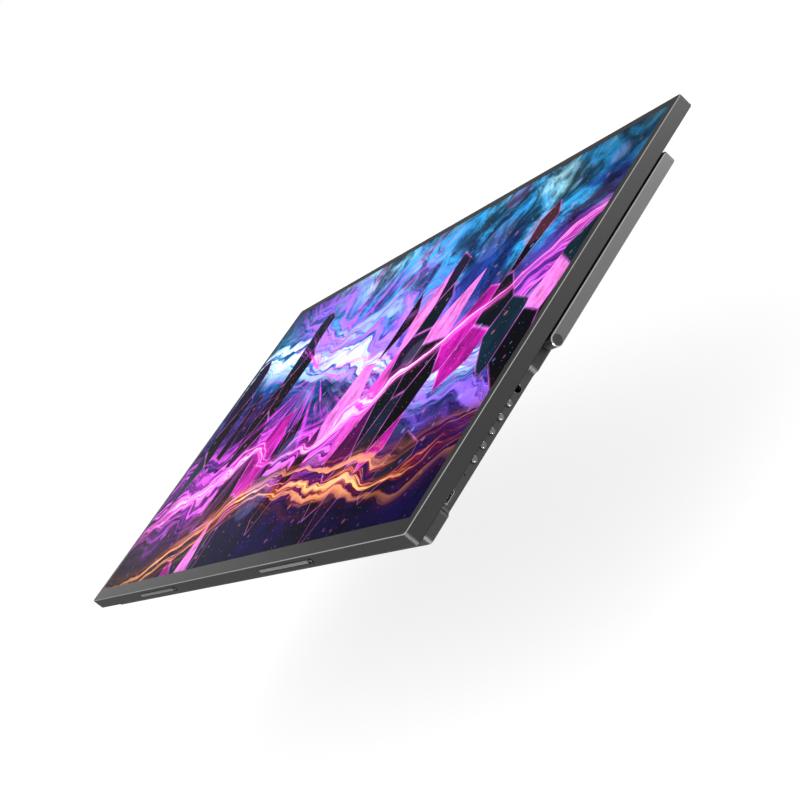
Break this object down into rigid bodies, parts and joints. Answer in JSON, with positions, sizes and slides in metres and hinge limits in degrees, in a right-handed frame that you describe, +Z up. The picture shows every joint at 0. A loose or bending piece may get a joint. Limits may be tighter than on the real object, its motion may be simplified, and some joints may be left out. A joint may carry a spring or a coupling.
{
  "type": "portable monitor with kickstand",
  "caption": "Thin portable display slab with a shallow rear electronics housing, side ports and buttons, and a folding U-shaped kickstand.",
  "frame": {"origin": "middle of the bottom of the folded display's bounding box; the display lies on its back", "axes": "+X to the viewer's right along the long side, +Y towards the picture's top edge, +Z up out of the screen"},
  "size_m": [0.42, 0.245, 0.0143],
  "materials": {
    "frame_alu": "fine bead-blasted anodised dark grey with polished edge cuts",
    "screen_glass": null,
    "panel_dark": "smooth",
    "film_white": "smooth white film",
    "guide_clear": "clear acrylic",
    "led_yellow": "yellow phosphor on a white strip",
    "tray_alu": "bare folded sheet",
    "board_green": "solder mask",
    "inlay_black": "fine matt",
    "housing_metal": "fine matt dark coating with polished edge cuts",
    "insert_steel": "threaded",
    "screw_steel": "plain",
    "chip_black": "moulded",
    "port_steel": "plated shell",
    "light_white": "clear light pipe",
    "speaker_black": "moulded",
    "grille_black": "perforated, matt",
    "cable_amber": "polyimide ribbon",
    "cable_red": "two-core lead",
    "foot_rubber": "soft satin grey strip",
    "screw_black": "blackened",
    "bracket_steel": "pressed",
    "stand_alu": "fine bead-blasted anodised dark grey with polished edge cuts",
    "cap_black": "moulded",
    "button_metal": "satin plated metal"
  },
  "bodies": {
    "display": {"front_bezel": "frame_alu", "cover_glass": "screen_glass", "lcd_cell": "panel_dark", "optical_films": "film_white", "light_guide": "guide_clear", "led_strip": "led_yellow", "reflector_sheet": "film_white", "panel_tray": "tray_alu", "timing_board": "board_green", "back_cover": "frame_alu", "rear_inlay": "inlay_black", "rear_housing": "housing_metal", "vesa_inserts": "insert_steel", "housing_screws": "screw_steel", "main_board": "board_green", "scaler_chip": "chip_black", "board_components": "chip_black", "board_screws": "screw_steel", "video_port": "port_steel", "usb_port_low": "port_steel", "usb_port_high": "port_steel", "control_board": "board_green", "tact_switches": "chip_black", "headphone_jack": "chip_black", "data_port": "port_steel", "status_light": "light_white", "speaker_left": "speaker_black", "speaker_right": "speaker_black", "speaker_grille_left": "grille_black", "speaker_grille_right": "grille_black", "panel_cable": "cable_amber", "backlight_cable": "cable_amber", "control_cable": "cable_amber", "speaker_cables": "cable_red", "foot_strip_left": "foot_rubber", "foot_strip_right": "foot_rubber", "foot_screws": "screw_black", "hinge_bracket_left": "bracket_steel", "hinge_bracket_right": "bracket_steel", "bracket_screws": "screw_steel"},
    "kickstand": {"stand_frame": "stand_alu", "hinge_shaft_left": "screw_steel", "hinge_shaft_right": "screw_steel", "hinge_nut_left": "screw_steel", "hinge_nut_right": "screw_steel", "hinge_cap_left": "cap_black", "hinge_cap_right": "cap_black"},
    "button_body_1": {"button_1": "button_metal"},
    "button_body_2": {"button_2": "button_metal"},
    "button_body_3": {"button_3": "button_metal"},
    "button_body_4": {"button_4": "button_metal"},
    "button_body_5": {"button_5": "button_metal"}
  },
  "joints": [
    {"name": "kickstand_hinge", "type": "hinge", "parent": "display", "child": "kickstand", "pos_m": [0, -0.01465, 0.003], "axis": [-1, 0, 0], "range_deg": [0, 145]},
    {"name": "button_1_press", "type": "slide", "parent": "display", "child": "button_body_1", "axis": [-1, 0, 0], "range_m": [0, 0.00035], "stiffness_N_per_m": 600, "springref_m": -0.0005},
    {"name": "button_2_press", "type": "slide", "parent": "display", "child": "button_body_2", "axis": [-1, 0, 0], "range_m": [0, 0.00035], "stiffness_N_per_m": 600, "springref_m": -0.0005},
    {"name": "button_3_press", "type": "slide", "parent": "display", "child": "button_body_3", "axis": [-1, 0, 0], "range_m": [0, 0.00035], "stiffness_N_per_m": 600, "springref_m": -0.0005},
    {"name": "button_4_press", "type": "slide", "parent": "display", "child": "button_body_4", "axis": [-1, 0, 0], "range_m": [0, 0.00035], "stiffness_N_per_m": 600, "springref_m": -0.0005},
    {"name": "button_5_press", "type": "slide", "parent": "display", "child": "button_body_5", "axis": [-1, 0, 0], "range_m": [0, 0.00035], "stiffness_N_per_m": 600, "springref_m": -0.0005}
  ]
}
